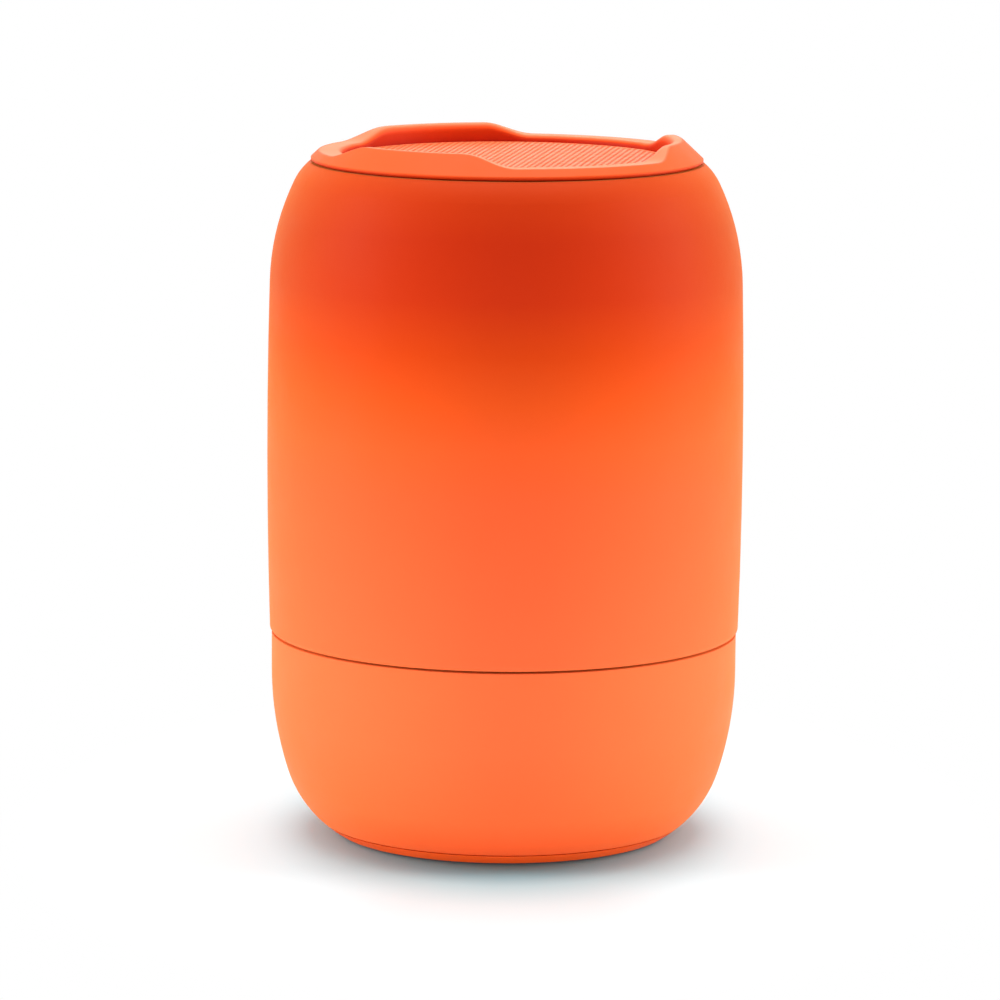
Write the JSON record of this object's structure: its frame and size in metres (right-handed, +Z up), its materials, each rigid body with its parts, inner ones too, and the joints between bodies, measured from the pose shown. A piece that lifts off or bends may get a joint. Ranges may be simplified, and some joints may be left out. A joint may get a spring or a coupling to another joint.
{
  "type": "portable bluetooth speaker",
  "caption": "Barrel-shaped portable speaker with an upward driver under a perforated disc, a lobed crown rim and a lower cup with keys and covered sockets.",
  "frame": {"origin": "middle of the foot, on the table", "axes": "+Z up along the drum's axis, +Y towards the back with the keys and sockets"},
  "size_m": [0.09, 0.09, 0.1324],
  "materials": {
    "drum_coating": "soft-touch coating, orange with a darker fade at the top",
    "cup_coating": "soft-touch coating, light orange",
    "base_plastic": "moulded orange plastic",
    "foot_rubber": "matt black",
    "crown_plastic": "soft-touch coating",
    "grille_steel": "matt orange paint on perforated steel",
    "scrim": "thin acoustic cloth",
    "chassis_plastic": "black ABS",
    "gasket_rubber": "soft black",
    "basket_steel": "black stamped steel",
    "surround_rubber": "butyl",
    "cone_paper": "pressed paper pulp",
    "dust_cap_paper": "pressed paper",
    "former_foil": "thin foil",
    "coil_wire": "enamelled copper wire",
    "spider_cloth": "resin-dipped cloth",
    "plate_steel": "zinc-plated",
    "ferrite": "sintered ferrite",
    "screw_steel": "zinc-plated",
    "terminal_board": "phenolic strip",
    "cell_wrap": "shrink sleeve",
    "wire_pvc": "PVC-insulated wire",
    "ribbon_film": "flat film cable",
    "board_laminate": "green solder mask",
    "chip_epoxy": "moulded epoxy",
    "can_steel": "tinned shield can",
    "capacitor_sleeve": "aluminium can",
    "inductor_ferrite": "moulded ferrite",
    "connector_nylon": "nylon",
    "socket_steel": "stainless shell",
    "jack_plastic": "black plastic",
    "led_epoxy": "clear epoxy",
    "pipe_acrylic": "clear acrylic rod",
    "mic_can": "gold-plated can",
    "switch_body": "steel-framed tact switch",
    "plunger_plastic": "black plastic",
    "button_rubber": "orange silicone",
    "flap_rubber": "orange silicone"
  },
  "bodies": {
    "speaker_body": {"upper_housing": "drum_coating", "lower_housing": "cup_coating", "base_cap": "base_plastic", "foot_pad": "foot_rubber", "crown_ring": "crown_plastic", "top_grille": "grille_steel", "grille_cloth": "scrim", "driver_frame": "basket_steel", "driver_gasket": "gasket_rubber", "driver_screws": "screw_steel", "cone_surround": "surround_rubber", "spider": "spider_cloth", "top_plate": "plate_steel", "ring_magnet": "ferrite", "yoke": "plate_steel", "driver_terminal": "terminal_board", "bulkhead": "chassis_plastic", "seam_gasket": "gasket_rubber", "bulkhead_screws": "screw_steel", "housing_screws": "screw_steel", "cable_grommet": "gasket_rubber", "battery_cell": "cell_wrap", "battery_cradle": "chassis_plastic", "battery_lead": "wire_pvc", "speaker_cable": "wire_pvc", "ribbon_cable": "ribbon_film", "main_board": "board_laminate", "board_screws": "screw_steel", "amplifier_chip": "chip_epoxy", "bluetooth_module": "can_steel", "capacitors": "capacitor_sleeve", "inductors": "inductor_ferrite", "board_connectors": "connector_nylon", "control_board": "board_laminate", "control_screws": "screw_steel", "usb_socket": "socket_steel", "audio_jack": "jack_plastic", "status_led": "led_epoxy", "light_pipe": "pipe_acrylic", "microphone": "mic_can", "mic_boot": "gasket_rubber", "tact_switches": "switch_body", "flap_anchor": "flap_rubber"},
    "cone_assembly": {"speaker_cone": "cone_paper", "dust_cap": "dust_cap_paper", "coil_former": "former_foil", "voice_coil": "coil_wire"},
    "port_flap": {"port_flap": "flap_rubber"},
    "power_key": {"power_button": "button_rubber", "power_plunger": "plunger_plastic"},
    "volume_down_key": {"volume_down_button": "button_rubber", "volume_down_plunger": "plunger_plastic"},
    "play_key": {"play_button": "button_rubber", "play_plunger": "plunger_plastic"},
    "volume_up_key": {"volume_up_button": "button_rubber", "volume_up_plunger": "plunger_plastic"}
  },
  "joints": [
    {"name": "cone_slide", "type": "slide", "parent": "speaker_body", "child": "cone_assembly", "axis": [0, 0, 1], "range_m": [-0.002, 0.002], "stiffness_N_per_m": 1800, "deforming": ["cone_surround", "spider"]},
    {"name": "port_flap_hinge", "type": "hinge", "parent": "speaker_body", "child": "port_flap", "pos_m": [0, 0.04112, 0.0148], "axis": [-1, 0, 0], "range_deg": [0, 110], "stiffness_Nm_per_rad": 0.004},
    {"name": "power_press", "type": "slide", "parent": "speaker_body", "child": "power_key", "axis": [0, -1, 0], "range_m": [0, 0.0005], "stiffness_N_per_m": 3500},
    {"name": "volume_down_press", "type": "slide", "parent": "speaker_body", "child": "volume_down_key", "axis": [0, -1, 0], "range_m": [0, 0.0005], "stiffness_N_per_m": 3500},
    {"name": "play_press", "type": "slide", "parent": "speaker_body", "child": "play_key", "axis": [0, -1, 0], "range_m": [0, 0.0005], "stiffness_N_per_m": 3500},
    {"name": "volume_up_press", "type": "slide", "parent": "speaker_body", "child": "volume_up_key", "axis": [0, -1, 0], "range_m": [0, 0.0005], "stiffness_N_per_m": 3500}
  ]
}
